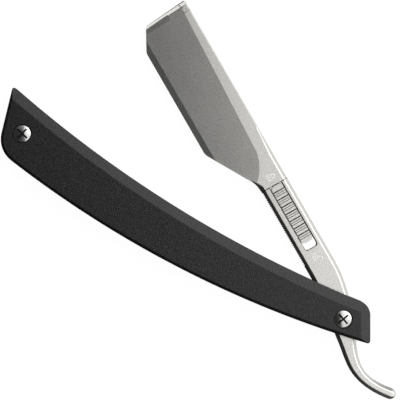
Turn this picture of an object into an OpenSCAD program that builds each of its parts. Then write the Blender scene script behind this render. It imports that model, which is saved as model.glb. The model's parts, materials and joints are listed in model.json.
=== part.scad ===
// Folding straight razor that holds a replaceable half blade.
// It lies flat: the handle's rear side is on z = 0, and the pivot's axis is the Z axis.
// The handle runs along -X with its mouth towards +Y. The blade side is drawn straight along -X in
// a frame of its own, with the spine towards +Y, and is then turned about the pivot by open_angle.

/* [Handle] */
// Distance between the two screws
pin_span = 136.9; // [130:0.1:142]
// Thickness of one scale
scale_t = 2.8; // [2.6:0.1:3.2]
// Radius of the concave edge that the blade folds into
mouth_r = 455; // [440:1:470]
// Radius of the rounded back edge
belly_r = 400; // [390:1:410]
// Width of the sloping band along the mouth edge
mouth_band = 3.7; // [2:0.1:4]
// Width of the sloping band across the pivot end
end_band = 3.4; // [2:0.1:4]
// Width of the steep band along the back edge
back_band = 1.1; // [0.6:0.1:1.4]

/* [Screws] */
// Diameter of a screw head
head_d = 6.5; // [6:0.1:7]
// Diameter of the sleeve that the scales and the blade turn on
sleeve_d = 4; // [3.8:0.1:4.2]
// Width of the cross slots
slot_w = 0.5; // [0.4:0.05:0.8]

/* [Blade holder] */
// Angle between the handle and the blade holder at rest
open_angle = 30; // [10:1:60]
// Thickness of the tang and the spine
tang_t = 4.4; // [4.2:0.1:4.6]
// Thickness of a friction washer
washer_t = 0.5; // [0.4:0.05:0.6]
// Height of the spine above the pivot
spine_y = 8.25; // [8:0.05:8.5]
// Depth of the blade holder's edge below the pivot
edge_y = 13.85; // [13.5:0.05:14]
// Slope of the flat grind in degrees
grind_a = 4.2; // [3.8:0.1:4.6]

/* [Lock] */
// Length of the thumb piece
thumb_len = 24; // [22:0.5:24]
// Travel of the lock
lock_travel = 2.75; // [2.5:0.05:2.75]
// Number of grip grooves in a thumb piece
grip_count = 7; // [5:1:7]

/* [Hidden] */
$fn = 48;
slack = 0.03; // radial clearance of a shaft that turns
eps = 0.01;

// Heights of the layers, from the rear face up
rear_gap_z = scale_t;
tang_z = rear_gap_z + washer_t;
mid_z = tang_z + tang_t / 2;
face_z = tang_z + tang_t;
front_gap_z = face_z + washer_t;
top_z = front_gap_z + scale_t;
tang_half = tang_t / 2;

// Outline of a scale: two large arcs closed by two straight ends
mouth_c = [-59.5, 4.7 + mouth_r];
belly_c = [-81, belly_r - 14.4];
pivot_end = [13, -2.5];
pivot_end_a = 120;
butt_end = [-pin_span - 8.1, 0.8];
butt_end_a = 106.3;
band_drop = 1.05; // how far the outer face falls across each band

// Screws
seat_d = head_d + 0.6;
head_t = 1.25;
seat_t = 1.4;
thread_d = 2.9;
bore_d = sleeve_d + 0.1;
bush_d = 5.8;

// Blade holder, in its own frame
tip_x = -131.3;
tip_face_x = -129.45;
part_x = -55.35;
root_x = -20;
under_y = -2.6;
hinge_y = 7.05;
hinge_d = 1.6;
strip_y = 5.75; // inner side of the strip that the hinge pin runs through
web_y = 5.5; // top of the fixed jaw beside that strip
post_x = -127.5; // inner end of the corner post
seam = 0.1;
corner_w = 1.25; // chamfer along the tang
part_gap = 0.06; // between the front jaw and the tang at the root
part_groove_w = 0.25; // and the groove that breaks the edge there
part_groove_d = corner_w + 0.35;
grind_p = [-127.2, 5.75];
grind_q = [-77.3, 3.6];
runout_c = [-72, -13];
bevel_y = -11.6;
lip_t = 0.5; // half thickness at the very edge

// Lock, in the same frame
slot_x0 = part_x;
slot_x1 = -28.4;
slot_y0 = 0.75;
slot_y1 = 5.6;
slot_r = 1.2;
thumb_x = slot_x0 + 0.15;
thumb_y0 = 0.9;
thumb_y1 = 5.4;
bar_t = 1.2;
bar_y0 = 1.7;
bar_y1 = 4.7;
block_y0 = slot_y0 + 0.05;
block_y1 = slot_y1 - 0.05;
bar_x = -100;
channel = 0.2; // room beside the bar
hook_xs = [-92, -66];
hook_y0 = 2.6;
hook_y1 = 3.8;
ball_x = thumb_x + thumb_len / 2;
ball_r = 0.75;
ball_y = 1.3;
ball_bore = 4.6;

function dir(a) = [cos(a), sin(a)];
function angle_to(from, to) = atan2(to.y - from.y, to.x - from.x);

// Where the line through p at angle a first meets the circle c, r
function first_hit(p, a, c, r) =
    let (b = (p - c) * dir(a), d2 = (p - c) * (p - c))
    p + (-b - sqrt(b * b - d2 + r * r)) * dir(a);

// The arc of radius r that rounds the corner q between p and s, as n + 1 points
function rounded(p, q, s, r, n = 8) =
    let (
        u = (p - q) / norm(p - q),
        v = (s - q) / norm(s - q),
        half = acos(u * v) / 2,
        c = q + (u + v) / norm(u + v) * r / sin(half),
        a0 = angle_to(c, q + u * r / tan(half)),
        turn = (angle_to(c, q + v * r / tan(half)) - a0 + 540) % 360 - 180
    )
    [for (i = [0:n]) c + r * dir(a0 + turn * i / n)];

function bezier(p, t) =
    pow(1 - t, 3) * p[0] + 3 * pow(1 - t, 2) * t * p[1] + 3 * (1 - t) * t * t * p[2] + t * t * t * p[3];

// Everything above the plane through p with the normal n
module above_plane(p, n) {
    u = n / norm(n);
    translate(p)
        rotate([0, acos(u.z), atan2(u.y, u.x)])
            translate([-100, -100, 0])
                cube([200, 200, 20]);
}

// Everything above the plane through three points
module above_points(p, q, s) {
    n = cross(q - p, s - p);
    above_plane(p, n.z > 0 ? n : -n);
}

module mirror_mid() {
    translate([0, 0, mid_z])
        mirror([0, 0, 1])
            translate([0, 0, -mid_z])
                children();
}

module blade_frame() {
    rotate([0, 0, -open_angle]) children();
}

/* ---- Handle ---- */

butt_a = butt_end_a - 90;
pivot_a = pivot_end_a + 90;

// Centre of the round of radius r between a straight end and one of the large arcs
function round_centre(p, a, inward, r, c, big) = first_hit(p + r * dir(inward), a, c, big);

heel_r = 10;
nose_r = 6;
toe_r = 1;
beak_r = 0.8;
heel_c = round_centre(butt_end, butt_end_a, butt_a, heel_r, belly_c, belly_r - heel_r);
nose_c = round_centre(pivot_end, pivot_end_a, pivot_a, nose_r, mouth_c, mouth_r + nose_r);
toe_c = round_centre(pivot_end, pivot_end_a, pivot_a, toe_r, belly_c, belly_r - toe_r);
beak_c = round_centre(butt_end, butt_end_a, butt_a, beak_r, mouth_c, mouth_r + beak_r);

// Points along the arc about c, from angle a0 to a1
function arc(c, r, a0, a1, n) = [for (i = [0:n]) c + r * dir(a0 + (a1 - a0) * i / n)];

// Outline of a scale, moved in by the width of the bands: mouth, end and back
function scale_outline(mouth, end, back) =
    let (
        pivot_p = pivot_end + end * dir(pivot_a),
        butt_p = butt_end + back * dir(butt_a),
        toe = first_hit(pivot_p, pivot_end_a, belly_c, belly_r - back),
        nose = first_hit(pivot_p, pivot_end_a, mouth_c, mouth_r + mouth),
        beak = first_hit(butt_p, butt_end_a, mouth_c, mouth_r + mouth)
    )
    concat(
        arc(belly_c, belly_r - back, angle_to(belly_c, heel_c), belly_end_a, 44),
        [toe, nose],
        arc(mouth_c, mouth_r + mouth, mouth_start_a, mouth_end_a, 44),
        [beak],
        arc(heel_c, heel_r - back, butt_a + 180, angle_to(belly_c, heel_c) + 354, 10)
    );

// The large arcs stop a little short of the corners of the innermost outline
belly_end_a = angle_to(belly_c, toe_c) - 0.8;
mouth_start_a = angle_to(mouth_c, nose_c) - 0.2;
mouth_end_a = angle_to(mouth_c, beak_c) + 0.2;

// Upright cutter for a rounded corner, between the angles a0 and a1 about its centre. The circle is
// a little larger than the true round, so that it crosses the walls and doesn't just touch them.
module corner_cutter(c, r, a0, a1) {
    half = (a1 - a0) / 2;
    translate([0, 0, -1])
        linear_extrude(scale_t + 2)
            difference() {
                polygon([
                    c, c + 1.6 * r * dir(a0),
                    c + 1.6 * r / cos(half) * dir(a0 + half), c + 1.6 * r * dir(a1),
                ]);
                translate(c) circle(r = 1.01 * r);
            }
}

// One scale with its inner side on z = 0
module scale_plate(recess_d) {
    outer = scale_outline(0, 0, 0);
    inner = scale_outline(mouth_band, end_band, back_band);
    difference() {
        through_rings([
            [for (p = outer) [p.x, p.y, 0]],
            [for (p = outer) [p.x, p.y, scale_t - band_drop]],
            [for (p = inner) [p.x, p.y, scale_t]],
        ]);
        corner_cutter(nose_c, nose_r, pivot_a - 180, angle_to(nose_c, mouth_c));
        corner_cutter(toe_c, toe_r, angle_to(belly_c, toe_c), pivot_a - 180);
        corner_cutter(beak_c, beak_r, angle_to(beak_c, mouth_c), butt_a + 180);
        for (x = [0, -pin_span]) {
            translate([x, 0, -1]) cylinder(d = bore_d, h = scale_t + 2);
            translate([x, 0, scale_t - seat_t]) cylinder(d = recess_d, h = seat_t + 1);
        }
    }
}

module front_scale() {
    color("#2b2b2d")
        translate([0, 0, front_gap_z])
            scale_plate(seat_d);
}

module rear_scale() {
    color("#2b2b2d")
        translate([0, 0, scale_t])
            mirror([0, 0, 1])
                scale_plate(head_d + 0.1);
}

// Cross-slotted screw whose threaded shank runs in the sleeve
module screw_at(x, turn) {
    top = top_z - seat_t + head_t;
    translate([x, 0, 0])
        difference() {
            rotate_extrude()
                polygon([
                    [0, 2], [thread_d / 2, 2], [thread_d / 2, top - head_t], [head_d / 2, top - head_t],
                    [head_d / 2, top - 0.25], [head_d / 2 - 0.25, top], [0, top],
                ]);
            for (a = [turn, turn + 90])
                translate([0, 0, top - 0.7])
                    rotate([0, 0, a])
                        translate([-2.5, -slot_w / 2, 0])
                            cube([5, slot_w, 1]);
        }
}

// Round-headed sleeve, flush with the rear face, that takes the screw
module sleeve_nut_at(x) {
    translate([x, 0, 0])
        rotate_extrude()
            polygon([
                [0, 0], [head_d / 2, 0], [head_d / 2, seat_t], [sleeve_d / 2, seat_t],
                [sleeve_d / 2, top_z - seat_t - 0.2], [thread_d / 2 + 0.05, top_z - seat_t - 0.2],
                [thread_d / 2 + 0.05, 1.7], [0, 1.7],
            ]);
}

module pivot_screw() {
    color("#d9dadc") screw_at(0, 35);
}

module pivot_sleeve_nut() {
    color("#d9dadc") sleeve_nut_at(0);
}

module end_screw() {
    color("#d9dadc") screw_at(-pin_span, 15);
}

module end_sleeve_nut() {
    color("#d9dadc") sleeve_nut_at(-pin_span);
}

module ring(x, z, h, outer_d, inner_d) {
    translate([x, 0, z])
        difference() {
            cylinder(d = outer_d, h = h);
            translate([0, 0, -1]) cylinder(d = inner_d, h = h + 2);
        }
}

module end_spacer() {
    color("#b08d57") ring(-pin_span, rear_gap_z, front_gap_z - rear_gap_z, 8, bore_d);
}

module front_washer() {
    color("#c9a15a") ring(0, face_z, washer_t, 9, bore_d);
}

module rear_washer() {
    color("#c9a15a") ring(0, rear_gap_z, washer_t, 9, bore_d);
}

/* ---- Blade holder ---- */

// Direction of the line where the flat grind begins, and the direction across it towards the edge
grind_d = (grind_q - grind_p) / norm(grind_q - grind_p);
grind_e = [grind_d.y, -grind_d.x];
runout_r = (runout_c - grind_p) * grind_e;

// Height of the flat grind above a point
function grind_z(p) = face_z - tan(grind_a) * ((p - grind_p) * grind_e);

// Outline of the jaws, from the tip to the parting line
module head_outline() {
    edge_tip = [-121.6, -edge_y];
    edge_root = [-78.1, -edge_y];
    tip_low = [-130.3, -9.05];
    shoulder = [-59.3, under_y - 0.4];
    polygon(concat(
        [[tip_x, spine_y], [part_x, spine_y], [part_x, under_y]],
        rounded([part_x, under_y], shoulder, edge_root, 8),
        rounded(shoulder, edge_root, edge_tip, 4),
        rounded(edge_root, edge_tip, tip_low, 3),
        rounded(edge_tip, tip_low, [tip_x, spine_y], 0.8)
    ));
}

// Cutter for 45 degree chamfers along X: stations are [x, width], and side is 1 for the edge at a
// high y and -1 for the edge at a low y
module chamfer_cutter(y, side, stations) {
    through_rings([
        for (s = stations)
            [
                [s[0], y - side * (s[1] + 1), face_z + 1],
                [s[0], y + side, face_z - s[1] - 1],
                [s[0], y + side, face_z + 1],
            ]
    ], side);
}

// All that the flat grind takes off above it: a slope that runs out in a fan about runout_c
module grind_cutter() {
    down = tan(grind_a);
    lift = 1; // the cutter's top is this much above the face
    reach = lift / down;
    foot = runout_c - runout_r * grind_e;
    far = -70 * grind_d;
    below = 12 * grind_e;
    fan = [for (a = [0:5:65])
        runout_c + (runout_r + reach) * (sin(a) * grind_d - cos(a) * grind_e)];
    top_z = face_z + lift;
    n = len(fan);
    rim = concat([foot - reach * grind_e + far], fan, [runout_c, runout_c + below, runout_c + below + far]);
    m = len(rim);
    polyhedron(
        points = concat(
            [for (q = rim) [q.x, q.y, top_z]],
            [for (i = [n + 1:m - 1])
                [rim[i].x, rim[i].y, face_z - (runout_r + (i > n + 1 ? 12 : 0)) * down]]
        ),
        faces = concat(
            [[for (i = [0:m - 1]) i]],
            [for (i = [1:n - 1]) [m, i + 1, i]],
            [
                [m + 2, m + 1, m, 1, 0], [m, n + 1, n], [m, m + 1, n + 2, n + 1],
                [m + 1, m + 2, n + 3, n + 2], [m + 2, 0, n + 3],
            ]
        )
    );
}

// One flat of the rounded end at the tip: where it starts, how deep, and its fall to the end
module tip_step(start, drop, fall) {
    function on_step(y, out) =
        let (x = tip_x + (spine_y - y) / 17.4 + start)
        [x - out, y, grind_z([x, y]) - drop - out * fall];
    above_points(on_step(5, 0), on_step(-8.8, 0), on_step(5, 1));
}

// All that is ground off the outer side of a jaw
module jaw_grind() {
    grind_cutter();
    above_points(
        [-125, bevel_y, grind_z([-125, bevel_y])],
        [-77, bevel_y, grind_z([-77, bevel_y])],
        [-125, -edge_y, mid_z + lip_t]
    );
    tip_step(1.9, 0, 0.12);
    tip_step(1.2, 0.08, 0.6);
    chamfer_cutter(spine_y, 1, [[-140, 0.45], [-75.5, 0.45], [-66, corner_w], [part_x + 1, corner_w]]);
    chamfer_cutter(under_y, -1, [[-61.5, -1.2], [-57, corner_w], [part_x + 1, corner_w]]);
}

// Slab of the jaws between two heights
module jaw_slab(z0, z1) {
    translate([0, 0, z0]) linear_extrude(z1 - z0) head_outline();
}

// Section of the tang: a flat bar with its four long corners cut off
function bar_section(y0, y1, half, w) = [
    [y0, -half + w], [y0 + w, -half], [y1 - w, -half], [y1, -half + w],
    [y1, half - w], [y1 - w, half], [y0 + w, half], [y0, half - w],
];

// Upper and lower edges from the root to the tail, and the thickness there
upper_curves = [
    [[root_x, spine_y], [-11, spine_y], [1.5, 4.5], [9.7, 0.2]],
    [[9.7, 0.2], [13, -1.5], [16.5, -2.7], [20, -2.7]],
    [[20, -2.7], [24, -2.7], [28.3, 0], [31.6, 2.9]],
];
lower_curves = [
    [[root_x, under_y], [-10, under_y], [0, -4.95], [6.3, -5.7]],
    [[6.3, -5.7], [10, -6.15], [14, -7.2], [17.7, -7.2]],
    [[17.7, -7.2], [23, -7.2], [28.5, -4.9], [34.2, -0.35]],
];
curve_steps = 10;
tail_end_t = 3.6;
tail_chamfer = 1.15;

// A ring of the tail between an upper and a lower point
function tail_ring(u, l, half, w) =
    let (v = (u - l) / norm(u - l))
    [for (s = bar_section(0, norm(u - l), half, w)) [l.x + v.x * s[0], l.y + v.y * s[0], mid_z + s[1]]];

// Rings along the three stretches, thinning towards the tip, and then round the tip
function tail_rings() = concat(
    [for (k = [0:2]) for (i = [k == 0 ? 0 : 1:curve_steps])
        let (
            t = i / curve_steps,
            f = (k + t) / 3,
            half = tang_half + (tail_end_t / 2 - tang_half) * f * f
        )
        tail_ring(
            bezier(upper_curves[k], t), bezier(lower_curves[k], t), half,
            corner_w + (tail_chamfer - corner_w) * f
        )],
    [for (a = [15:15:75])
        let (
            u = upper_curves[2][3],
            l = lower_curves[2][3],
            r = norm(u - l) / 2,
            v = (u - l) / (2 * r),
            c = (u + l) / 2 + r * sin(a) * [v.y, -v.x]
        )
        tail_ring(
            c + v * r * cos(a), c - v * r * cos(a), tail_end_t / 2 - 0.6 * (1 - cos(a)),
            min(tail_chamfer, 0.8 * r * cos(a)) * (1 - 0.3 * sin(a))
        )]
);

// Closed solid through rings of the same number of points; turn is -1 if they run the other way round
module through_rings(rings, turn = 1) {
    m = len(rings[0]);
    n = len(rings);
    polyhedron(
        points = [for (r = rings) for (i = [0:m - 1]) r[turn > 0 ? i : m - 1 - i]],
        faces = concat(
            [[for (j = [0:m - 1]) j]],
            [for (i = [0:n - 2]) for (j = [0:m - 1])
                let (k = (j + 1) % m, a = i * m, b = (i + 1) * m)
                each [[a + j, b + j, b + k], [a + j, b + k, a + k]]],
            [[for (j = [0:m - 1]) (n - 1) * m + m - 1 - j]]
        )
    );
}

jimp_pitch = 0.8;
jimp_from = -54.6;
jimp_count = 39;
jimp_side = 0.58;

// Fine notches across the underside of the tang, for the finger
module jimps() {
    translate([0, 0, tang_z - 1])
        linear_extrude(tang_t + 2)
            for (i = [0:jimp_count - 1])
                translate([jimp_from + i * jimp_pitch, under_y])
                    rotate([0, 0, 45])
                        square(jimp_side, center = true);
}

// Outline of the window for the lock, rounded at its free end
function slot_outline(grow) = concat(
    [[slot_x0, slot_y0 - grow], [slot_x0, slot_y1 + grow]],
    rounded(
        [slot_x0, slot_y1 + grow], [slot_x1 + grow, slot_y1 + grow],
        [slot_x1 + grow, slot_y0 - grow], slot_r + grow
    ),
    rounded(
        [slot_x1 + grow, slot_y1 + grow], [slot_x1 + grow, slot_y0 - grow],
        [slot_x0, slot_y0 - grow], slot_r + grow
    )
);

// Window for the lock, with a small chamfer on both sides
module lock_slot() {
    translate([0, 0, tang_z - 1]) linear_extrude(tang_t + 2) polygon(slot_outline(0));
    slot_chamfer();
    mirror_mid() slot_chamfer();
}

// Chamfer round three sides of the window on the front face
module slot_chamfer() {
    w = 0.35;
    function ring_at(grow, z) = [for (q = slot_outline(grow)) [q.x, q.y, z]];
    through_rings([ring_at(0, face_z - w), ring_at(w + 0.5, face_z + 0.5)], -1);
}

// Channel between the jaws for the lock bar, and the pockets for the jaw's hooks
module bar_channel() {
    translate([bar_x - 0.3, bar_y0 - channel, mid_z - bar_t / 2 - 0.1])
        cube([part_x - bar_x + 0.3 + eps, bar_y1 - bar_y0 + 2 * channel, bar_t + 0.2]);
    for (x = hook_xs)
        translate([x - 0.3, hook_y0 - 0.4, mid_z - 1.4])
            cube([3.8, hook_y1 - hook_y0 + 0.8, 1.4]);
}

// Groove and two dimples in the wall of the slot for the detent ball
module detent_track() {
    r = ball_r + 0.1;
    translate([ball_x - 0.2, ball_y, mid_z])
        rotate([0, 90, 0])
            cylinder(r = r, h = lock_travel + 0.4, $fn = 32);
    for (x = [ball_x, ball_x + lock_travel])
        translate([x, 0.2, mid_z])
            rotate([-90, 0, 0])
                cylinder(d = 0.7, h = 1, $fn = 32);
}

// Outline of the liner between the jaws
liner_t = 0.4;
pin_xs = [-122, -94];
pin_y = -4.6;
pin_d = 1.5;
pin_up = 0.4; // how far the pins stand above the middle
recess_x = -84; // end of the recess for the blade
recess_y = -3.4; // and its inner side

module liner_outline(grow) {
    polygon([
        [-130.4 - grow, -8.8 - grow], [-131.7 - grow, 7.9 + grow], [-130.9 + grow, 7.9 + grow],
        [-130.9 + grow, 5.35 + grow], [-127.3 + grow, 5.35 + grow],
        [-124.6 + grow, 1 + grow], [-86 + grow, 1 + grow], [-86 + grow, -8.8 - grow],
    ]);
}

// Tang, tail, fixed rear jaw and corner post in one piece
module tang() {
    color("#b9babc") blade_frame()
        difference() {
            union() {
                difference() {
                    jaw_slab(tang_z, mid_z);
                    mirror_mid() jaw_grind();
                    translate([post_x + seam, web_y, tang_z - 1])
                        cube([part_x - post_x - seam + 0.2, 10, 10]);
                }
                corner_post();
                through_rings(concat(
                    [tail_ring([part_x, spine_y], [part_x, under_y], tang_half, corner_w)],
                    tail_rings()
                ));
            }
            translate([0, 0, tang_z - 1]) cylinder(d = bush_d, h = tang_t + 2);
            lock_slot();
            bar_channel();
            detent_track();
            jimps();
            hinge_bore(hinge_d);
            translate([0, 0, mid_z - liner_t]) linear_extrude(liner_t + seam) liner_outline(0.05);
            for (x = pin_xs)
                translate([x, pin_y, mid_z - 1]) cylinder(d = pin_d, h = 3, $fn = 32);
        }
}

// Post at the tip that holds the far end of the hinge pin
module corner_post() {
    difference() {
        translate([0, 0, tang_z])
            linear_extrude(tang_t)
                intersection() {
                    head_outline();
                    translate([tip_x - 1, strip_y - seam]) square([post_x - tip_x + 1, 10]);
                }
        jaw_grind();
        mirror_mid() jaw_grind();
    }
}

module hinge_bore(d) {
    translate([-130.2, hinge_y, mid_z])
        rotate([0, 90, 0])
            cylinder(d = d, h = 130.2 + part_x + 3.1, $fn = 32);
}

module hinge_pin() {
    color("#c8c9cb") blade_frame()
        translate([-130.1, hinge_y, mid_z])
            rotate([0, 90, 0])
                cylinder(d = hinge_d, h = 130.1 + part_x + 3, $fn = 32);
}

module pivot_bush() {
    color("#c9a15a") ring(0, tang_z, tang_t, bush_d, sleeve_d + 2 * slack);
}

module liner_plate() {
    color("#3a3c40") blade_frame()
        translate([0, 0, mid_z - liner_t])
            linear_extrude(liner_t)
                difference() {
                    liner_outline(0);
                    for (x = pin_xs)
                        translate([x, pin_y]) circle(d = pin_d + 0.1, $fn = 32);
                }
}

module blade_pins() {
    color("#c8c9cb") blade_frame()
        for (x = pin_xs)
            translate([x, pin_y, mid_z - 1]) cylinder(d = pin_d, h = 1 + pin_up, $fn = 32);
}

// Hook under the jaw that the lock bar slides over
module jaw_hook(x) {
    translate([x, hook_y0, mid_z - 1.2]) cube([1.5, hook_y1 - hook_y0, 2.2]);
    translate([x, hook_y0, mid_z - 1.2]) cube([3, hook_y1 - hook_y0, 0.4]);
}

// Front jaw, with the strip along the spine that the hinge pin runs through
module front_jaw() {
    strip_x0 = post_x + 2 * seam;
    color("#b9babc") blade_frame()
        difference() {
            union() {
                difference() {
                    union() {
                        jaw_slab(mid_z + 0.02, face_z);
                        intersection() {
                            jaw_slab(tang_z, mid_z + 1);
                            translate([strip_x0, strip_y, 0]) cube([part_x - strip_x0, 10, 20]);
                        }
                    }
                    jaw_grind();
                    mirror_mid() jaw_grind();
                    bar_channel();
                    translate([tip_x - 2, web_y - 0.1, 0]) cube([strip_x0 - tip_x + 2, 10, 20]);
                    blade_recess();
                    tip_relief();
                }
                for (x = hook_xs) jaw_hook(x);
            }
            translate([part_x - part_gap, -10, 0]) cube([10, 30, 20]);
            translate([part_x - part_groove_w, -10, face_z - part_groove_d]) cube([10, 30, 5]);
            hinge_bore(hinge_d + 2 * slack);
            for (x = pin_xs)
                translate([x, pin_y, mid_z - 1]) cylinder(d = pin_d + 0.8, h = 1.2 + pin_up, $fn = 32);
        }
}

// Thin step in the inner side of the jaw, which the blade lies in
module blade_recess() {
    deep = 0.15;
    translate([tip_x - 1, -edge_y - 1, mid_z - 1])
        cube([recess_x - tip_x + 1, edge_y + 1 + recess_y, 1 + deep]);
}

// Shallow relief at the tip, for the fingernail
module tip_relief() {
    x0 = tip_face_x + 1.75;
    intersection() {
        translate([tip_x - 3, -20, mid_z]) cube([10, 20, 10]);
        above_points(
            [x0, 0, grind_z([x0, 0])],
            [x0, -6, grind_z([x0, -6])],
            [tip_face_x, 0, grind_z([tip_face_x, 0]) - 0.22]
        );
    }
}

/* ---- Lock ---- */

thumb_z = 0.1; // how far a thumb piece stands above the tang
thumb_t = tang_half - bar_t / 2 + thumb_z;
pin_at = [thumb_x + 6, thumb_x + 18];
pin_reach = 1.5; // how far the pins reach into each thumb piece from the middle

// Rounded end of the thumb piece, or of the block under it, between two heights y
function round_end(x0, x1, y0, y1, r = 1.2) = concat(
    rounded([x0, y1], [x1, y1], [x1, y0], r),
    rounded([x1, y1], [x1, y0], [x0, y0], r)
);

// Sliding bar: a finger between the jaws, and the block that slides in the slot
module lock_bar() {
    z = mid_z - bar_t / 2;
    color("#8f9194") blade_frame()
        difference() {
            union() {
                translate([bar_x, bar_y0, z]) cube([thumb_x - bar_x + 2, bar_y1 - bar_y0, bar_t]);
                translate([0, 0, z])
                    linear_extrude(bar_t)
                        polygon(concat(
                            [[thumb_x, block_y0], [thumb_x, block_y1]],
                            round_end(thumb_x, thumb_x + thumb_len, block_y0, block_y1)
                        ));
            }
            for (x = hook_xs)
                translate([x - lock_travel - 0.2, hook_y0 - 0.2, z - 1])
                    cube([lock_travel + 1.9, hook_y1 - hook_y0 + 0.4, bar_t + 2]);
            translate([ball_x, thumb_y0 - 1, mid_z])
                rotate([-90, 0, 0])
                    cylinder(d = 2 * ball_r + 0.06, h = ball_bore, $fn = 32);
            for (x = pin_at)
                translate([x, (thumb_y0 + thumb_y1) / 2, z - 1]) cylinder(d = 1.2, h = bar_t + 2, $fn = 32);
        }
}

// Thumb piece with its grip grooves, standing on the face of the bar
module thumb_piece() {
    y_mid = (thumb_y0 + thumb_y1) / 2;
    x1 = thumb_x + thumb_len;
    outline = concat(
        round_end(x1, thumb_x, thumb_y1, thumb_y0),
        round_end(thumb_x, x1, thumb_y0, thumb_y1)
    );
    pitch = 18.15 / (grip_count - 1);
    difference() {
        translate([0, 0, mid_z + bar_t / 2]) linear_extrude(thumb_t) polygon(outline);
        for (i = [0:grip_count - 1])
            translate([thumb_x + 2.25 + i * pitch, thumb_y0 - 1, face_z + thumb_z]) {
                translate([-0.2, 0, -0.5]) cube([0.4, 7, 1]);
                for (x = [0.8, 1.6])
                    translate([x, 0, -0.15]) cube([0.2, 7, 1]);
            }
        translate([ball_x, y_mid, mid_z])
            rotate([90, 0, 0])
                cylinder(d = 2 * ball_r + 0.06, h = 8, center = true, $fn = 32);
        for (x = pin_at)
            translate([x, y_mid, mid_z]) cylinder(d = 1.2, h = pin_reach, $fn = 32);
    }
}

module front_thumb_piece() {
    color("#c9cacc") blade_frame() thumb_piece();
}

module rear_thumb_piece() {
    color("#c9cacc") blade_frame() mirror_mid() thumb_piece();
}

module thumb_pins() {
    color("#c8c9cb") blade_frame()
        for (x = pin_at)
            translate([x, (thumb_y0 + thumb_y1) / 2, mid_z - pin_reach])
                cylinder(d = 1.2, h = 2 * pin_reach, $fn = 32);
}

module detent_ball() {
    color("#e0e0e2") blade_frame()
        translate([ball_x, ball_y, mid_z])
            sphere(r = ball_r, $fn = 32);
}

spring_r = 0.5;
spring_wire_r = 0.12;
spring_turns = 4;
spring_y0 = ball_y + ball_r + spring_wire_r;
spring_y1 = thumb_y0 - 1 + ball_bore - spring_wire_r;

// Coil spring behind the ball
module detent_spring() {
    steps = 12;
    n = steps * spring_turns;
    rings = [for (i = [0:n])
        let (a = 360 * i / steps, y = spring_y0 + (spring_y1 - spring_y0) * i / n)
        [for (j = [0:7])
            let (b = -45 * j, r = spring_r + spring_wire_r * cos(b))
            [ball_x + r * cos(a), y + spring_wire_r * sin(b), mid_z + r * sin(a)]]];
    color("#a8a9ab") blade_frame() through_rings(rings);
}

front_scale();
rear_scale();
pivot_screw();
pivot_sleeve_nut();
end_screw();
end_sleeve_nut();
end_spacer();
front_washer();
rear_washer();
tang();
pivot_bush();
liner_plate();
blade_pins();
hinge_pin();
front_jaw();
lock_bar();
front_thumb_piece();
rear_thumb_piece();
thumb_pins();
detent_ball();
detent_spring();
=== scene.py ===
import json
import math

import bpy
from mathutils import Matrix, Vector


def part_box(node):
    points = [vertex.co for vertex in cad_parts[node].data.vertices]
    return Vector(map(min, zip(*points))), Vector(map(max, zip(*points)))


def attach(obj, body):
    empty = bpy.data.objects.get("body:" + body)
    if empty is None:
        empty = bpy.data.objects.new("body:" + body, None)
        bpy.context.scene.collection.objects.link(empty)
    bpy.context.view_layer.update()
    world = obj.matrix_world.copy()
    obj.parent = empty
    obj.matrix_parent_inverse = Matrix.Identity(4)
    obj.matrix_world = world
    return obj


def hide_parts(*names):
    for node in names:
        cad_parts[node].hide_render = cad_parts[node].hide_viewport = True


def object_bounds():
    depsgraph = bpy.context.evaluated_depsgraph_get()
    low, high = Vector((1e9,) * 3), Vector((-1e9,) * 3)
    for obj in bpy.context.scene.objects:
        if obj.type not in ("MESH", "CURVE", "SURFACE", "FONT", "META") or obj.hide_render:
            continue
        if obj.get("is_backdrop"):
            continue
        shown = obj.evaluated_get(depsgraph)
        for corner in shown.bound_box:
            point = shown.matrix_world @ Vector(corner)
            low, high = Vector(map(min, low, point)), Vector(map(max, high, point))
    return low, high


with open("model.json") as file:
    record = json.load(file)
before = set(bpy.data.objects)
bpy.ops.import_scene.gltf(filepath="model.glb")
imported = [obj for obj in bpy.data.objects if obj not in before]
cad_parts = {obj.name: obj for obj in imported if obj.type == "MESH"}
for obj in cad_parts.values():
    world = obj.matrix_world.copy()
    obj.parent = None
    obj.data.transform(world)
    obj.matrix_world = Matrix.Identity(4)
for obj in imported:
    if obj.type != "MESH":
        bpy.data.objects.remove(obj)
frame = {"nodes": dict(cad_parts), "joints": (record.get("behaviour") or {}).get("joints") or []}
cad_lo, cad_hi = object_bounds()

# ---- Scales ----
# Two scales of glass-filled plastic, moulded with a fine matt grain. A sloping band runs along the
# mouth and across the pivot end, and a steep one along the back. The screws at both ends hold them
# either side of the blade holder. Handling has left patches a little smoother than the rest.

SCALE_EDGE = 0.00012
SAME_PLACE = 0.000001
FLAT_UP = 0.99
SCALE_DARK = (0.0012, 0.0012, 0.0012, 1)
SCALE_SPECK = (0.015, 0.015, 0.0148, 1)


class Flow:
    """A socket of a finish's nodes. Sums written on it become Math nodes."""

    def __init__(self, finish, socket):
        self.finish, self.socket = finish, socket

    def sum(self, operation, a, b):
        return self.finish.node("ShaderNodeMath", {"operation": operation}, a, b)

    def __add__(self, other):
        return self.sum("ADD", self, other)

    def __sub__(self, other):
        return self.sum("SUBTRACT", self, other)

    def __rsub__(self, other):
        return self.sum("SUBTRACT", other, self)

    def __mul__(self, other):
        return self.sum("MULTIPLY", self, other)

    __radd__, __rmul__ = __add__, __mul__


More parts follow.
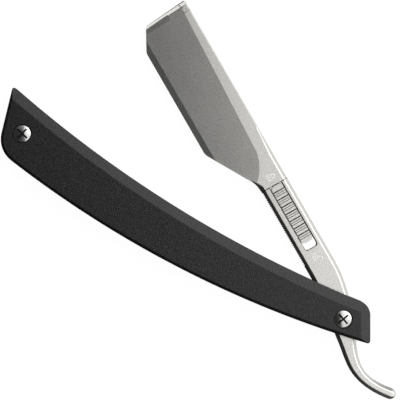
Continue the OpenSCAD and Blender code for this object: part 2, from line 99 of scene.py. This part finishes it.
class Finish:
    """A Principled material whose details are nodes on object coordinates."""

    def __init__(self, name, **fixed):
        self.material = bpy.data.materials.new(name)
        self.material.use_nodes = True
        self.tree = self.material.node_tree
        self.shader = self.tree.nodes["Principled BSDF"]
        for socket, value in fixed.items():
            self.shader.inputs[socket.replace("_", " ")].default_value = value
        self.place = self.node("ShaderNodeTexCoord", {}, out="Object")

    def node(self, kind, settings, *values, out=0, **named):
        """Adds a node: its settings first, then its inputs by order or by name."""
        made = self.tree.nodes.new(kind)
        for key, value in settings.items():
            if key == "stops":
                for at, colour in value[len(made.color_ramp.elements):]:
                    made.color_ramp.elements.new(at)
                for element, (at, colour) in zip(made.color_ramp.elements, value):
                    element.position, element.color = at, colour
            else:
                setattr(made, key, value)
        for at, value in enumerate(values):
            self.feed(made.inputs[at], value)
        for name, value in named.items():
            self.feed(next(s for s in made.inputs if name in (s.identifier, s.name)), value)
        return Flow(self, made.outputs[out])

    def feed(self, socket, value):
        if isinstance(value, Flow):
            self.tree.links.new(value.socket, socket)
        else:
            socket.default_value = value

    def stretched(self, scale, turn=0.0):
        """Object coordinates turned about Z, and then scaled."""
        turned = self.node("ShaderNodeMapping", {}, self.place, (0, 0, 0), (0, 0, turn))
        return self.node("ShaderNodeMapping", {}, turned, (0, 0, 0), (0, 0, 0), scale)

    def noise(self, scale, detail=2.0, at=None):
        return self.node("ShaderNodeTexNoise", {}, Vector=at or self.place, Scale=scale, Detail=detail,
                         out="Fac")

    def step(self, value, low, high):
        """0 below low and 1 above high, with a soft step between them."""
        return self.node("ShaderNodeMapRange", {"interpolation_type": "SMOOTHSTEP"}, value, low, high)

    def blend(self, factor, a, b):
        return self.node("ShaderNodeMix", {"data_type": "RGBA"}, factor, A_Color=a, B_Color=b, out=2)

    def bump(self, height, distance, strength=1.0):
        return self.node("ShaderNodeBump", {}, Height=height, Distance=distance, Strength=strength,
                         out="Normal")

    def surface(self, **sockets):
        """Feeds the shader's own sockets, and returns the material."""
        for socket, value in sockets.items():
            self.feed(self.shader.inputs[socket.replace("_", " ")], value)
        return self.material


def select_only(piece):
    bpy.ops.object.select_all(action="DESELECT")
    piece.select_set(True)
    bpy.context.view_layer.objects.active = piece


def shell_of(node, name, flat=0.3):
    """A merged copy of a CAD node's mesh, with faces that are flat to within an angle made whole."""
    piece = bpy.data.objects.new(name, frame["nodes"][node].data.copy())
    bpy.context.scene.collection.objects.link(piece)
    select_only(piece)
    bpy.ops.mesh.customdata_custom_splitnormals_clear()
    bpy.ops.object.mode_set(mode="EDIT")
    bpy.ops.mesh.select_all(action="SELECT")
    bpy.ops.mesh.remove_doubles(threshold=SAME_PLACE)
    bpy.ops.mesh.dissolve_limited(angle_limit=math.radians(flat))
    bpy.ops.object.mode_set(mode="OBJECT")
    return piece


def faces_where(piece, wanted):
    """In edit mode, selects the faces that a test on centre and normal picks."""
    bpy.ops.mesh.select_mode(type="FACE")
    bpy.ops.mesh.select_all(action="DESELECT")
    bpy.ops.object.mode_set(mode="OBJECT")
    for face in piece.data.polygons:
        face.select = bool(wanted(face.center, face.normal))
    bpy.ops.object.mode_set(mode="EDIT")


def refill(piece, height):
    """Fills a flat outer face again from its outline and holes, without folded triangles."""
    select_only(piece)
    bpy.ops.object.mode_set(mode="EDIT")
    faces_where(piece, lambda at, normal: abs(normal.z) > FLAT_UP and abs(at.z - height) < SAME_PLACE)
    bpy.ops.mesh.delete(type="FACE")
    bpy.ops.mesh.select_mode(type="EDGE")
    bpy.ops.mesh.select_non_manifold()
    bpy.ops.mesh.fill()
    bpy.ops.mesh.select_all(action="SELECT")
    bpy.ops.mesh.normals_make_consistent(inside=False)
    bpy.ops.object.mode_set(mode="OBJECT")


def modify(piece, kind, **settings):
    select_only(piece)
    modifier = piece.modifiers.new(kind.lower(), kind)
    for key, value in settings.items():
        setattr(modifier, key, value)
    bpy.ops.object.modifier_apply(modifier=modifier.name)


def soften(piece, width, sharper_than=40, crisp=35):
    """Breaks the sharp edges, and smooths the shading where the surface turns by less than crisp."""
    select_only(piece)
    bpy.ops.object.shade_smooth_by_angle(angle=math.radians(crisp))
    modify(piece, "BEVEL", width=width, segments=2, limit_method="ANGLE",
           angle_limit=math.radians(sharper_than), use_clamp_overlap=True)
    modify(piece, "WEIGHTED_NORMAL", keep_sharp=True)


def dress(piece, body, material, slot, *replaced):
    """Gives a piece its finish and its body, and hides the CAD nodes it stands for. The slot argument
    is not used.
    """
    piece.data.materials.clear()
    piece.data.materials.append(material)
    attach(piece, body)
    if replaced:
        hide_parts(*replaced)


def moulded_plastic():
    finish = Finish("moulded_plastic", IOR=1.5)
    grain = finish.noise(2300.0, detail=3.0)
    pits = finish.noise(700.0, detail=2.0)
    handling = finish.noise(38.0, detail=3.0)
    speck = finish.step(grain, 0.50, 0.62)
    return finish.surface(
        Base_Color=finish.blend(speck, SCALE_DARK, SCALE_SPECK),
        Roughness=0.38 + 0.12 * grain - 0.06 * finish.step(handling, 0.5, 0.75),
        Normal=finish.bump(grain + 0.5 * pits, 0.0001, 0.7),
    )


scale_finish = moulded_plastic()
for side in ("front", "rear"):
    scale = shell_of(side + "_scale", side + "_scale_moulding", flat=0.02)
    refill(scale, cad_hi.z if side == "front" else cad_lo.z)
    soften(scale, SCALE_EDGE, crisp=8)
    dress(scale, "handle", scale_finish, "moulded_scale", side + "_scale")

# ---- Screws and sleeve nuts ----
# At each end a polished cross-slotted screw with a low domed head sits in a counterbore of the
# front scale, and threads into a sleeve whose flat head is flush with the rear scale. The heads
# are turned, so the polish has faint rings, and the insides of the slots are painted dark as
# shade.

SCREW_RISE = 0.00055
SCREW_RINGS = 8
SCREW_MIDDLE = 0.03
SCREW_GAP = 0.00014
SLOT_WIDTH = 0.00068
SLOT_REACH = 0.0024
SLOT_DEPTH = 0.0011
# Colour of the painted shade inside the slots and below the rim of each head.
SLOT_SHADE = (0.02, 0.02, 0.02, 1)
SHADE_DEPTHS = (0.00035, 0.00005)
POLISH_DARK = (0.52, 0.52, 0.515, 1)
POLISH_LIGHT = (0.66, 0.66, 0.65, 1)
FINE_DARK = (0.56, 0.56, 0.555, 1)
FINE_LIGHT = (0.70, 0.70, 0.69, 1)
HEAD_WALL = 0.0009
SHANK_D = 0.0029


def polished_steel(name, centre, top):
    """Turned and polished steel with rings about a centre, painted dark as shade just below its top."""
    finish = Finish(name, Metallic=1.0)
    at_centre = finish.node("ShaderNodeMapping", {"vector_type": "POINT"}, finish.place,
                            (-centre.x, -centre.y, 0))
    rings = finish.node("ShaderNodeTexWave", {"wave_type": "RINGS", "rings_direction": "Z"}, at_centre,
                        Scale=1400.0, Distortion=1.5, Detail=2.0, out="Fac")
    haze = finish.noise(420.0, detail=3.0)
    polish = finish.blend(haze, POLISH_DARK, POLISH_LIGHT)
    height = finish.node("ShaderNodeSeparateXYZ", {}, finish.place, out="Z")
    # Below the rim, the slot floors and walls and the head's side are painted dark as shade.
    shade_full_at, shade_none_at = (top - SCREW_RISE - depth for depth in SHADE_DEPTHS)
    unshaded = finish.step(height, shade_full_at, shade_none_at)
    return finish.surface(
        Base_Color=finish.blend(unshaded, SLOT_SHADE, polish),
        Roughness=0.55 - 0.38 * unshaded + 0.08 * haze,
        Normal=finish.bump(rings, 0.000002, 0.4),
    )


def fine_steel():
    """Bright drawn and turned steel of the small inner parts."""
    finish = Finish("fine_steel", Metallic=1.0)
    drawn = finish.noise(1.0, detail=2.0, at=finish.stretched((2600.0, 2600.0, 240.0)))
    haze = finish.noise(420.0, detail=3.0)
    return finish.surface(
        Base_Color=finish.blend(haze, FINE_DARK, FINE_LIGHT),
        Roughness=0.20 + 0.12 * haze,
        Normal=finish.bump(drawn, 0.000004, 0.5),
    )


def cross_cutter(centre, top, turn):
    """Two crossed blocks that cut a driver slot."""
    blocks = []
    for quarter in (0, 90):
        bpy.ops.object.select_all(action="DESELECT")
        bpy.ops.mesh.primitive_cube_add(size=1, location=(centre.x, centre.y, top),
                                        rotation=(0, 0, math.radians(turn + quarter)),
                                        scale=(2 * SLOT_REACH, SLOT_WIDTH, 2 * SLOT_DEPTH))
        blocks.append(bpy.context.object)
    return blocks


def domed_screw(name, node, turn):
    """A head raised in rings to a low dome, on a plain shank, with a crossed slot cut into it."""
    lo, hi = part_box(node)
    centre, radius = (lo + hi) / 2, (hi.x - lo.x) / 2 - SCREW_GAP
    rim_z = hi.z - SCREW_RISE
    bpy.ops.object.select_all(action="DESELECT")
    bpy.ops.mesh.primitive_cylinder_add(vertices=64, radius=radius, depth=HEAD_WALL,
                                        location=(centre.x, centre.y, rim_z - HEAD_WALL / 2))
    screw = bpy.context.object
    screw.name = name
    bpy.ops.object.transform_apply(location=True, rotation=True, scale=True)
    bpy.ops.object.mode_set(mode="EDIT")
    faces_where(screw, lambda at, normal: normal.z > 0.9)
    for i in range(SCREW_RINGS):
        r0, r1 = 1 - i / SCREW_RINGS, 1 - (i + 1) / SCREW_RINGS
        if i == SCREW_RINGS - 1:
            r1 = SCREW_MIDDLE
        bpy.ops.mesh.inset(thickness=(r0 - r1) * radius)
        bpy.ops.transform.translate(value=(0, 0, SCREW_RISE * (r0 * r0 - r1 * r1)))
    faces_where(screw, lambda at, normal: normal.z < -0.9)
    bpy.ops.mesh.inset(thickness=radius - SHANK_D / 2)
    bpy.ops.mesh.extrude_region_move(TRANSFORM_OT_translate={"value": (0, 0, lo.z - rim_z + HEAD_WALL)})
    bpy.ops.object.mode_set(mode="OBJECT")
    for block in cross_cutter(centre, hi.z, turn):
        modify(screw, "BOOLEAN", operation="DIFFERENCE", object=block, solver="EXACT")
        bpy.data.objects.remove(block)
    select_only(screw)
    bpy.ops.object.shade_smooth_by_angle(angle=math.radians(25))
    return screw


nut_steel = fine_steel()
for place, turn in (("pivot", 70), ("end", 77)):
    screw = domed_screw(place + "_screw_domed", place + "_screw", turn)
    lo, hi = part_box(place + "_screw")
    polish = polished_steel(place + "_polished_steel", (lo + hi) / 2, hi.z)
    dress(screw, "handle", polish, "polished_steel", place + "_screw")
    nut = shell_of(place + "_sleeve_nut", place + "_sleeve_nut_turned")
    soften(nut, 0.0001)
    dress(nut, "handle", nut_steel, "polished_steel", place + "_sleeve_nut")

# ---- Spacer and washers ----
# A plain brass spacer keeps the scales apart at the butt end, and a thin brass washer lies on each
# side of the tang at the pivot. They are cut from bar, and have dulled.

BRASS_BRIGHT = (0.62, 0.44, 0.19, 1)
BRASS_DULL = (0.40, 0.27, 0.12, 1)


def dull_brass():
    finish = Finish("dull_brass", Metallic=1.0)
    tarnish = finish.noise(260.0, detail=4.0)
    scratches = finish.noise(1.0, detail=2.0, at=finish.stretched((900.0, 900.0, 9000.0)))
    return finish.surface(
        Base_Color=finish.blend(finish.step(tarnish, 0.35, 0.7), BRASS_BRIGHT, BRASS_DULL),
        Roughness=0.26 + 0.2 * tarnish,
        Normal=finish.bump(scratches, 0.000006, 0.4),
    )


brass = dull_brass()
for node in ("end_spacer", "front_washer", "rear_washer"):
    ring = shell_of(node, node + "_brass")
    soften(ring, 0.00008)
    dress(ring, "handle", brass, "brass", node)

# ---- Tang, tail and fixed jaw ----
# One forging of stainless steel: the fixed rear jaw, the tang with its finger notches and lock
# window, and the tail. It is ground, blasted to a fine even satin and lightly brushed lengthways,
# and the long edges are broken to a soft round.

LENGTHWAYS = Vector(next(j for j in frame["joints"] if j["name"] == "lock_slide")["axis"])
BLADE_TURN = math.atan2(LENGTHWAYS.y, LENGTHWAYS.x)
STEEL_LIGHT = (0.73, 0.72, 0.695, 1)
STEEL_DARK = (0.53, 0.525, 0.505, 1)
SEAM = (-0.05562, -0.05531)
SEAM_DIRT = (0.03, 0.03, 0.03, 1)
JAW_END = -0.0562
WINDOW_END = -0.0275
CHAMFER_FROM = -0.076
CHAMFER_HEIGHT = 0.78
WINDOW_SIDES = (-0.001, 0.0063)
LONG_ROUND = 0.00032
EDGE_BREAK = 0.00007
CRISP_GRIND = 2
CRISP_TAIL = 35
GRAIN_SCALE = 3000.0

lo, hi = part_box("tang")
MIDDLE, HALF_THICK = (lo.z + hi.z) / 2, (hi.z - lo.z) / 2


def along_blade(point):
    """A point in the blade holder's own frame: x along it towards the tail, y towards its spine."""
    return Matrix.Rotation(-BLADE_TURN, 3, "Z") @ point


def satin_steel():
    """Blasted and brushed steel, with dirt in the joint line at the front jaw's root."""
    finish = Finish("satin_steel", Metallic=1.0)
    grain = finish.noise(GRAIN_SCALE, detail=4.0)
    brushed = finish.noise(1.0, detail=3.0, at=finish.stretched((60.0, 3800.0, 3800.0), -BLADE_TURN))
    cloud = finish.noise(70.0, detail=3.0)
    in_blade_frame = finish.stretched((1, 1, 1), -BLADE_TURN)
    x = finish.node("ShaderNodeSeparateXYZ", {}, in_blade_frame, out="X")
    z = finish.node("ShaderNodeSeparateXYZ", {}, in_blade_frame, out="Z")
    seam = finish.step(x, SEAM[0] - 0.00002, SEAM[0]) * finish.step(x, SEAM[1] + 0.00002, SEAM[1])
    seam = seam * finish.step(z, MIDDLE - 0.0002, MIDDLE)
    metal = finish.blend(finish.step(grain, 0.34, 0.66), STEEL_DARK, STEEL_LIGHT)
    return finish.surface(
        Base_Color=finish.blend(seam, metal, SEAM_DIRT),
        Roughness=0.25 + 0.09 * grain + 0.05 * cloud,
        Normal=finish.bump(grain + 0.35 * brushed, 0.00002, 0.45),
    )


def edges_where(piece, wanted):
    """In edit mode, selects the edges that a test on middle and turning angle picks."""
    select_only(piece)
    mesh, normals = piece.data, {}
    for face in mesh.polygons:
        for key in face.edge_keys:
            normals.setdefault(key, []).append(face.normal.copy())
    chosen = []
    for edge in mesh.edges:
        a, b = (mesh.vertices[v].co for v in edge.vertices)
        turn = math.degrees(normals[edge.key][0].angle(normals[edge.key][-1], 0))
        chosen.append(bool(wanted(along_blade((a + b) / 2), turn)))
    bpy.ops.object.mode_set(mode="EDIT")
    bpy.ops.mesh.select_mode(type="EDGE")
    bpy.ops.mesh.select_all(action="DESELECT")
    bpy.ops.object.mode_set(mode="OBJECT")
    for edge, choice in zip(piece.data.edges, chosen):
        edge.select = choice
    bpy.ops.object.mode_set(mode="EDIT")


def grind_and_break(piece, rounded, tail_from):
    """Rounds the long corners, breaks the other edges, and keeps each ground face flat.

    Forward of tail_from every change of angle stays a crisp line."""
    edges_where(piece, rounded)
    bpy.ops.mesh.bevel(offset=LONG_ROUND, segments=4, affect="EDGES", clamp_overlap=False)
    bpy.ops.object.mode_set(mode="OBJECT")
    bpy.ops.object.shade_smooth()
    edges_where(piece, lambda at, turn: turn > (CRISP_GRIND if at.x < tail_from else CRISP_TAIL)
                and not (6 < turn < 20 and abs(abs(at.z - MIDDLE) - HALF_THICK) < LONG_ROUND))
    bpy.ops.mesh.mark_sharp()
    bpy.ops.object.mode_set(mode="OBJECT")
    modify(piece, "BEVEL", width=EDGE_BREAK, segments=2, limit_method="ANGLE",
           angle_limit=math.radians(30), use_clamp_overlap=True)
    modify(piece, "WEIGHTED_NORMAL", keep_sharp=True)


def long_corner(at, turn):
    """The corner between a flat face and its long chamfer, but not round the window."""
    in_window = JAW_END < at.x < WINDOW_END and WINDOW_SIDES[0] < at.y < WINDOW_SIDES[1]
    near_face = abs(at.z - MIDDLE) > CHAMFER_HEIGHT * HALF_THICK
    return 30 < turn < 60 and at.x > CHAMFER_FROM and near_face and not in_window


steel = satin_steel()
tang = shell_of("tang", "tang_forging")
grind_and_break(tang, long_corner, JAW_END)
dress(tang, "razor", steel, "satin_steel", "tang")

# ---- Pivot bush, liner and pins ----
# A brass bush is pressed into the tang. A blued liner lies between the jaws at the tip, with two
# riveted pins that the holes of the half blade drop over, and the hinge pin runs in the spine.
# Where the liner shows at the tip, its near-black colour is painted shade for the gap between the
# jaws.

BLUED_AND_TIP_SHADE = (0.012, 0.013, 0.018, 1)
BLUED_WORN = (0.070, 0.072, 0.080, 1)


def refinish(node, material):
    """Gives a carried-over CAD node its finish."""
    for slot in frame["nodes"][node].material_slots:
        slot.material = material


# Near-black where the liner shows at the tip, as painted shade for the gap between the jaws.
def blued_steel():
    finish = Finish("blued_steel", Metallic=0.85)
    colour = finish.noise(180.0, detail=3.0)
    rubbed = finish.noise(1.0, detail=3.0, at=finish.stretched((150.0, 2400.0, 2400.0), -BLADE_TURN))
    return finish.surface(
        Base_Color=finish.blend(finish.step(rubbed + 0.4 * colour, 0.72, 0.95), BLUED_AND_TIP_SHADE, BLUED_WORN),
        Roughness=0.32 + 0.16 * rubbed,
        Normal=finish.bump(rubbed, 0.000006, 0.4),
    )


refinish("pivot_bush", brass)
refinish("liner_plate", blued_steel())
for node in ("blade_pins", "hinge_pin"):
    refinish(node, nut_steel)

# ---- Front jaw ----
# A thin steel plate of the same finish as the tang, hinged on the pin inside the spine. Its face
# is hollow-ground in flats down to the edge, and the flats meet in crisp lines.

jaw = shell_of("front_jaw", "front_jaw_plate")
grind_and_break(jaw, long_corner, 0)
dress(jaw, "front_jaw", steel, "satin_steel", "front_jaw")

# ---- Lock ----
# A flat steel bar slides between the jaws, and a grooved thumb piece is pinned to each side of it
# in the tang's window. A sprung ball in its edge clicks into the tang at both ends of its travel.

THUMB_ROUND = 0.00004
GROOVE_DEEP = 0.00022
# Colour of the painted shade in the grooves of the thumb pieces.
GROOVE_SHADE = (0.05, 0.05, 0.048, 1)
THUMB_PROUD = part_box("front_thumb_piece")[1].z - MIDDLE - HALF_THICK


def grooved_steel():
    """The same satin steel, with painted shade in what lies below its two outer faces."""
    finish = Finish("grooved_satin_steel", Metallic=1.0)
    grain = finish.noise(GRAIN_SCALE, detail=4.0)
    height = finish.node("ShaderNodeSeparateXYZ", {}, finish.place, out="Z")
    from_middle = finish.node("ShaderNodeMath", {"operation": "ABSOLUTE"}, height - MIDDLE)
    depth = HALF_THICK + THUMB_PROUD - from_middle
    metal = finish.blend(finish.step(grain, 0.34, 0.66), STEEL_DARK, STEEL_LIGHT)
    # The grooves are painted darker as shade the deeper they lie below the outer face.
    groove_shade_mask = finish.step(depth + 0.00004 * grain, 0.00003, GROOVE_DEEP)
    return finish.surface(
        Base_Color=finish.blend(groove_shade_mask, metal, GROOVE_SHADE),
        Roughness=0.25 + 0.09 * grain + 0.3 * groove_shade_mask,
        Normal=finish.bump(grain, 0.00001, 0.35),
    )


grooved = grooved_steel()
for node in ("front_thumb_piece", "rear_thumb_piece"):
    lo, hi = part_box(node)
    outer, inner = (hi.z, lo.z) if node.startswith("front") else (lo.z, hi.z)
    thumb = shell_of(node, node + "_grooved")
    edges_where(thumb, lambda at, turn: turn > 80 and abs(at.z - outer) < 0.00001)
    bpy.ops.mesh.bevel(offset=THUMB_ROUND, segments=2, affect="EDGES", clamp_overlap=True)
    bpy.ops.object.mode_set(mode="OBJECT")
    select_only(thumb)
    bpy.ops.object.shade_smooth_by_angle(angle=math.radians(8))
    dress(thumb, "lock_slider", grooved, "satin_steel", node)

refinish("lock_bar", steel)
for node in ("thumb_pins", "detent_ball", "detent_spring"):
    refinish(node, nut_steel)

# ---- Lock marks ----
# Two small padlocks in etched outline, one shut beside the thumb piece on the front jaw and one
# open past its other end on the tang, show which way to slide it.

MARK_LINE = 0.00038
MARK_BODY = (0.0024, 0.0021)
MARK_ARCH = 0.00075
ARCH_STRETCH = 1.35
MARK_RISE = 0.00002
SHUT_AT = (-0.0588, 0.0026)
OPEN_AT = (-0.0250, 0.0026)
ETCH_DARK = (0.86, 0.86, 0.85, 1)
ETCH_LIGHT = (0.97, 0.97, 0.96, 1)


def etched_line():
    finish = Finish("etched_line", Metallic=0.0, Roughness=0.5)
    grain = finish.noise(2600.0, detail=3.0)
    return finish.surface(
        Base_Color=finish.blend(grain, ETCH_DARK, ETCH_LIGHT),
        Normal=finish.bump(grain, 0.000004, 0.4),
    )


def padlock(name, x, y, shut):
    """An outlined padlock at a place on the front face, in the blade holder's own frame."""
    width, height = MARK_BODY
    foot = (x, y + height / 2 - MARK_LINE / 4, 0)
    parts = []
    bpy.ops.object.select_all(action="DESELECT")
    bpy.ops.mesh.primitive_cube_add(size=1, location=(x, y, 0), scale=(width, height, MARK_RISE * 2))
    body = bpy.context.object
    bpy.ops.object.transform_apply(location=True, rotation=True, scale=True)
    bpy.ops.object.mode_set(mode="EDIT")
    faces_where(body, lambda at, normal: abs(normal.z) > 0.9)
    bpy.ops.mesh.inset(thickness=MARK_LINE)
    bpy.ops.mesh.bridge_edge_loops()
    bpy.ops.object.mode_set(mode="OBJECT")
    parts.append(body)
    bpy.ops.object.select_all(action="DESELECT")
    bpy.ops.mesh.primitive_cylinder_add(vertices=16, radius=MARK_LINE, depth=MARK_RISE * 2,
                                        location=(x, y, 0))
    parts.append(bpy.context.object)
    bpy.ops.object.select_all(action="DESELECT")
    bpy.ops.mesh.primitive_torus_add(major_radius=MARK_ARCH, minor_radius=MARK_LINE / 2,
                                     major_segments=32, minor_segments=8,
                                     location=(x if shut else x + 2 * MARK_ARCH, y + height / 2, 0))
    arch = bpy.context.object
    bpy.ops.object.transform_apply(location=True, rotation=True, scale=True)
    bpy.ops.object.mode_set(mode="EDIT")
    bpy.ops.mesh.select_all(action="SELECT")
    bpy.ops.mesh.bisect(plane_co=foot, plane_no=(0, 1, 0), use_fill=True, clear_inner=True)
    bpy.ops.mesh.select_all(action="SELECT")
    bpy.ops.transform.resize(value=(1, ARCH_STRETCH, MARK_RISE * 2 / MARK_LINE), center_override=foot)
    bpy.ops.object.mode_set(mode="OBJECT")
    parts.append(arch)
    for part in parts:
        part.select_set(True)
    bpy.context.view_layer.objects.active = body
    bpy.ops.object.join()
    body.name = name
    body.rotation_euler.z = BLADE_TURN
    body.location.z = MIDDLE + HALF_THICK
    bpy.ops.object.transform_apply(location=True, rotation=True, scale=True)
    return body


etched = etched_line()
dress(padlock("shut_mark", *SHUT_AT, True), "front_jaw", etched, "satin_steel")
dress(padlock("open_mark", *OPEN_AT, False), "razor", etched, "satin_steel")

# ---- Floor, lights and camera ----
# A pale, evenly lit floor that the razor lies on, a softbox above it and a large light on each side
# for the steel to mirror. The studio's walls darken towards one corner, which shades the steel.

INWARD = Vector((0.819, 0.574, 0))
OVERHEAD_TURN = -55
BACKDROP = 0.9
LENS = 200
SENSOR = 36
VIEW_WIDTH = 0.14815
VIEW_CENTRE = Vector((-0.0678, 0.0116, 0.0077))
CAMERA_TURN = 30

bpy.ops.object.select_all(action="DESELECT")
bpy.ops.mesh.primitive_plane_add(size=4, location=(0, 0, cad_lo.z - 0.0001))
floor = bpy.context.object
floor.name = "floor"
bpy.ops.object.transform_apply(location=True, rotation=True, scale=True)
floor.visible_glossy = False
pale = Finish("pale_floor", Roughness=0.9, Emission_Strength=0.97)
floor.data.materials.append(pale.surface(Base_Color=(0.06, 0.06, 0.06, 1), Emission_Color=(1, 1, 1, 1)))
floor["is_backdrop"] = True


def softbox(name, place, towards, width, height, radiance):
    lamp = bpy.data.lights.new(name, "AREA")
    lamp.shape, lamp.size, lamp.size_y = "RECTANGLE", width, height
    lamp.energy = radiance * math.pi * width * height
    box = bpy.data.objects.new(name, lamp)
    box.location = place
    box.rotation_euler = (Vector(towards) - Vector(place)).to_track_quat("-Z", "Y").to_euler()
    box.visible_camera = False
    bpy.context.scene.collection.objects.link(box)
    return box


above = INWARD * 0.35 + Vector((-0.035, -0.03, 0.45))
overhead = softbox("overhead", above, above - Vector((0, 0, 1)), 0.9, 0.7, 1.15)
overhead.rotation_euler = (0, 0, math.radians(OVERHEAD_TURN))
softbox("key", (0.75, 1.3, 1.5), (-0.06, 0.01, 0), 1.6, 1.5, 1.5)
softbox("tip_card", (-1.3, 0.75, 0.35), (-0.1, 0.06, 0), 1.2, 0.9, 1.4)

sky = bpy.data.worlds.new("studio")
bpy.context.scene.world = sky
sky.use_nodes = True
nodes, links = sky.node_tree.nodes, sky.node_tree.links
around = nodes.new("ShaderNodeTexCoord")
split = nodes.new("ShaderNodeSeparateXYZ")
links.new(around.outputs["Generated"], split.inputs[0])


def wall(axis, low, high, dark, bright):
    """A soft change of brightness round the studio, along one axis."""
    made = nodes.new("ShaderNodeMapRange")
    made.interpolation_type = "SMOOTHSTEP"
    for at, value in enumerate((low, high, dark, bright)):
        made.inputs[at + 1].default_value = value
    links.new(split.outputs[axis], made.inputs[0])
    return made.outputs[0]


glow = nodes.new("ShaderNodeMath")
glow.operation = "MULTIPLY"
links.new(wall("Y", 0.05, 0.55, 0.09, 1.0), glow.inputs[0])
links.new(wall("X", -0.2, 0.35, 0.3, 1.05), glow.inputs[1])
seen = nodes.new("ShaderNodeLightPath")
backdrop = nodes.new("ShaderNodeMix")
backdrop.inputs["B"].default_value = BACKDROP
links.new(seen.outputs["Is Camera Ray"], backdrop.inputs["Factor"])
links.new(glow.outputs[0], backdrop.inputs["A"])
links.new(backdrop.outputs[0], nodes["Background"].inputs["Strength"])
nodes["Background"].inputs["Color"].default_value = (1, 1, 0.985, 1)

view = bpy.data.cameras.new("camera")
view.lens = LENS
view.sensor_width = SENSOR
camera = bpy.data.objects.new("camera", view)
camera.location = VIEW_CENTRE + Vector((0, 0, VIEW_WIDTH * LENS / SENSOR))
camera.rotation_euler = (0, 0, math.radians(CAMERA_TURN))
bpy.context.scene.collection.objects.link(camera)
bpy.context.scene.camera = camera
bpy.context.scene.view_settings.view_transform = "Standard"

lo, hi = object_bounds()
